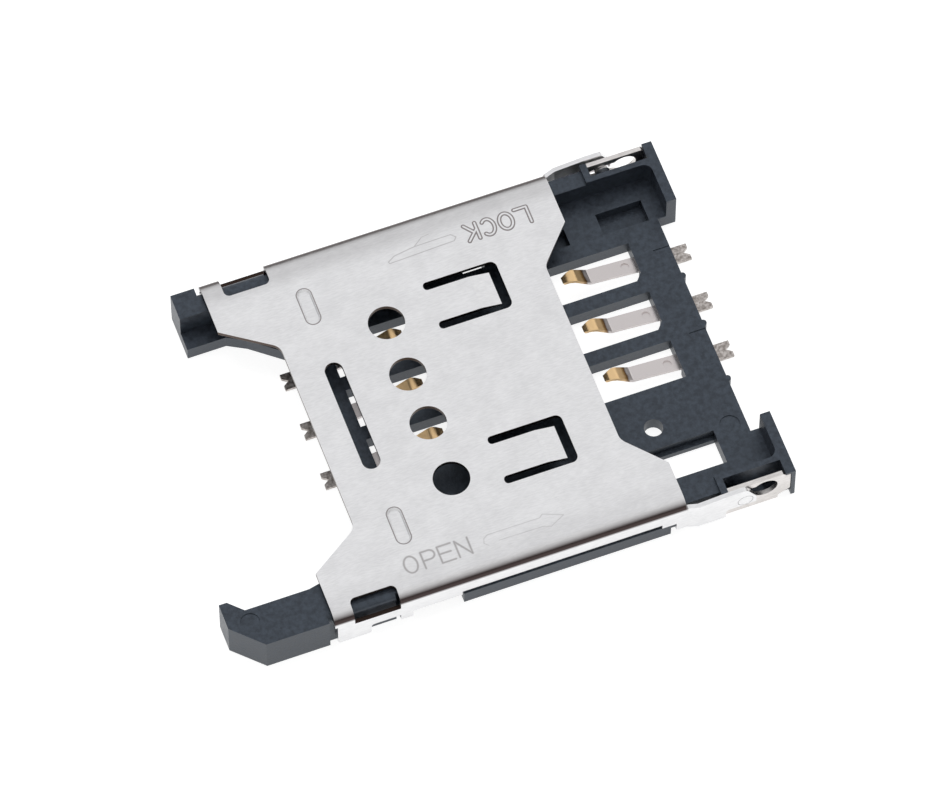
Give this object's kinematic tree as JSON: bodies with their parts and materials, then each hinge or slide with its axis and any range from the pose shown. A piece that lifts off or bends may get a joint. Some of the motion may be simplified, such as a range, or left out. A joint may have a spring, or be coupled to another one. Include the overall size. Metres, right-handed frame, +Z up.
{
  "type": "sim card socket",
  "caption": "Board-mounted card socket with spring contacts in a moulded base and a sheet-metal lid that slides to lock and swings open.",
  "frame": {"origin": "on the board under the middle of the outline", "axes": "+X along the card towards the hinge, +Y across the card, +Z up from the board"},
  "size_m": [0.025, 0.0176, 0.0023],
  "materials": {
    "moulding": "fine moulded, charcoal",
    "lid_sheet": "satin rolled sheet",
    "bracket_sheet": "satin rolled sheet",
    "contact_strip": "tinned strip with a gold-plated crest"
  },
  "bodies": {
    "base": {"housing": "moulding", "contact_c1": "contact_strip", "contact_c2": "contact_strip", "contact_c3": "contact_strip", "contact_c5": "contact_strip", "contact_c6": "contact_strip", "contact_c7": "contact_strip", "bracket_far": "bracket_sheet", "bracket_near": "bracket_sheet"},
    "pins": {"hinge_pin_far": "lid_sheet", "hinge_pin_near": "lid_sheet"},
    "lid": {"lid": "lid_sheet"}
  },
  "joints": [
    {"name": "lid_slide", "type": "slide", "parent": "base", "child": "pins", "axis": [1, 0, 0], "range_m": [0, 0.001]},
    {"name": "lid_hinge", "type": "hinge", "parent": "pins", "child": "lid", "pos_m": [0.01015, 0, 0.00125], "axis": [0, 1, 0], "range_deg": [0, 110]}
  ]
}
